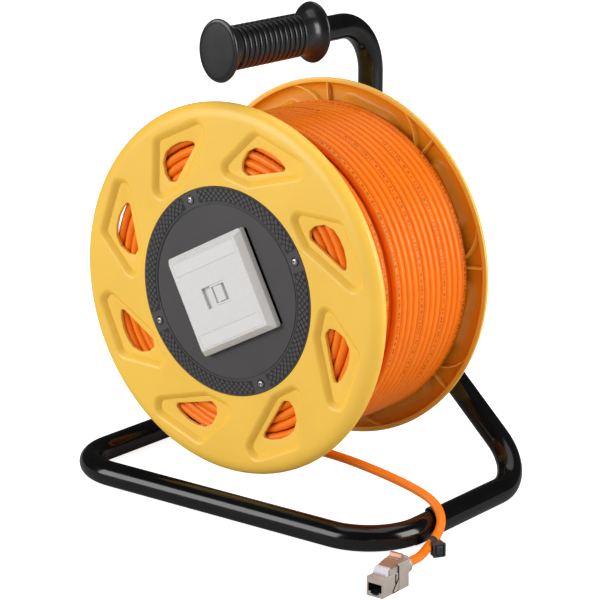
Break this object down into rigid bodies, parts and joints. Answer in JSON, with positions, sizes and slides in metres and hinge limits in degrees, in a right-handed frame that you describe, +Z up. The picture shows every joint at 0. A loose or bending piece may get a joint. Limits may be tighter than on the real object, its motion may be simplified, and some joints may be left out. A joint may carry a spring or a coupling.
{
  "type": "cable reel with network outlet",
  "caption": "Portable cable reel: moulded drum of data cable on a bent tube stand, with a wall outlet in the drum's face and a keystone jack on the free end.",
  "frame": {"origin": "on the floor, in the middle of the stand", "axes": "+Z up, the drum's outlet face looks to -Y, the axle runs along Y, +X is the drum's right"},
  "size_m": [0.371, 0.2679, 0.3858],
  "materials": {
    "black_enamel": "gloss black enamel on steel tube",
    "grip_plastic": "gloss black moulded plastic",
    "cap_plastic": "matt black moulded plastic",
    "zinc_plated_steel": "bright zinc plating",
    "screw_steel": "nickel plated screw",
    "bearing_plastic": "natural acetal",
    "yellow_plastic": "satin warm yellow moulding",
    "cover_plastic": "fine textured dark grey moulding",
    "box_plastic": "black moulding",
    "grommet_rubber": "black rubber",
    "orange_jacket": "satin orange cable jacket",
    "white_plastic": "satin white thermoplastic",
    "label_plastic": "smooth white plastic",
    "port_plastic": "black plastic",
    "gold_contact": "gold plated spring wire",
    "tie_plastic": "dark grey nylon",
    "jack_zinc": "satin nickel on die-cast zinc",
    "jack_copper": "satin nickel, copper tint"
  },
  "bodies": {
    "stand": {"base_loop": "black_enamel", "post_tube": "black_enamel", "grip": "grip_plastic", "grip_end_cap": "cap_plastic", "axle_plate": "black_enamel", "axle": "zinc_plated_steel", "front_washer": "zinc_plated_steel", "rear_washer": "zinc_plated_steel", "axle_nut": "zinc_plated_steel", "cable_lead": "orange_jacket", "cable_tie": "tie_plastic", "tie_head": "tie_plastic", "jack_body": "jack_zinc", "jack_cover": "jack_zinc", "jack_latch": "jack_copper", "jack_label": "label_plastic", "jack_contacts": "gold_contact"},
    "drum": {"front_flange": "yellow_plastic", "rear_flange": "yellow_plastic", "front_barrel": "yellow_plastic", "rear_barrel": "yellow_plastic", "core_screws": "zinc_plated_steel", "front_bush": "bearing_plastic", "rear_bush": "bearing_plastic", "rear_cover": "cover_plastic", "rear_cover_screws": "screw_steel", "front_cover": "cover_plastic", "front_cover_screws": "screw_steel", "socket_box": "box_plastic", "box_grommet": "grommet_rubber", "cable_tail": "orange_jacket", "outlet_frame": "white_plastic", "outlet_insert": "white_plastic", "label_strips": "label_plastic", "outlet_port": "port_plastic", "port_contacts": "gold_contact", "mounting_strap": "zinc_plated_steel", "cable_winding": "orange_jacket"},
    "shutter": {"dust_shutter": "white_plastic"}
  },
  "joints": [
    {"name": "drum_spin", "type": "hinge", "parent": "stand", "child": "drum", "pos_m": [0, 0, 0.1763], "axis": [0, 1, 0], "continuous": true},
    {"name": "shutter_slide", "type": "slide", "parent": "drum", "child": "shutter", "axis": [-0.891, 0, -0.454], "range_m": [0, 0.0084]}
  ]
}
